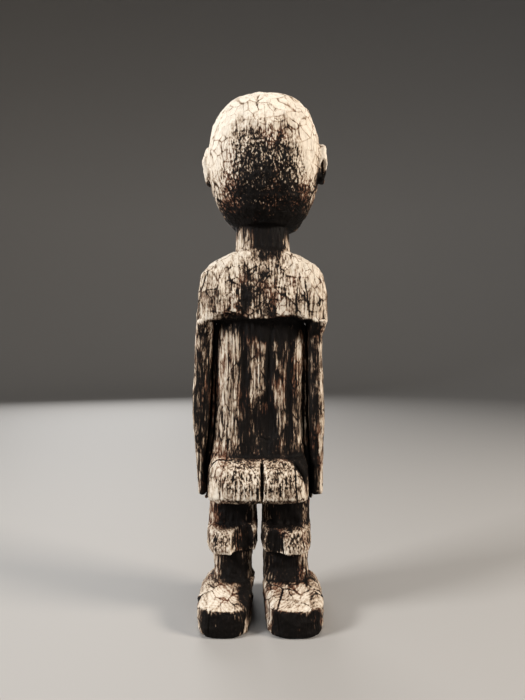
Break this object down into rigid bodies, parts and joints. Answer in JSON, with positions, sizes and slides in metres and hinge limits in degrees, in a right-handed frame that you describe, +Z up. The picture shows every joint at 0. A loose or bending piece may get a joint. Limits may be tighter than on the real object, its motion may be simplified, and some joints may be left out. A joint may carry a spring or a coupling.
{
  "type": "carved ancestor figure",
  "caption": "Standing wooden ancestor figure with a large head, thick neck, arms hanging free, bent knees and block feet, carved in the round to stand on its own soles.",
  "frame": {"origin": "on the ground, under the middle of the figure's outline", "axes": "+Z up the figure, +Y the way it faces, +X towards its own right-hand side"},
  "size_m": [0.078, 0.066, 0.3],
  "materials": {
    "wood": "matt, pale where handling has worn it, brown-black with old smoke and dirt in the hollows, knife and gouge marks left on"
  },
  "bodies": {
    "root": {"head": "wood", "left_ear": "wood", "right_ear": "wood", "nose": "wood", "mouth": "wood", "left_eye": "wood", "right_eye": "wood", "neck": "wood", "shoulders": "wood", "trunk": "wood", "left_upper_arm": "wood", "right_upper_arm": "wood", "left_forearm": "wood", "right_forearm": "wood", "left_hand": "wood", "right_hand": "wood", "left_haunch": "wood", "right_haunch": "wood", "left_thigh": "wood", "right_thigh": "wood", "left_calf": "wood", "right_calf": "wood", "left_ankle": "wood", "right_ankle": "wood", "left_foot": "wood", "right_foot": "wood"}
  },
  "joints": []
}
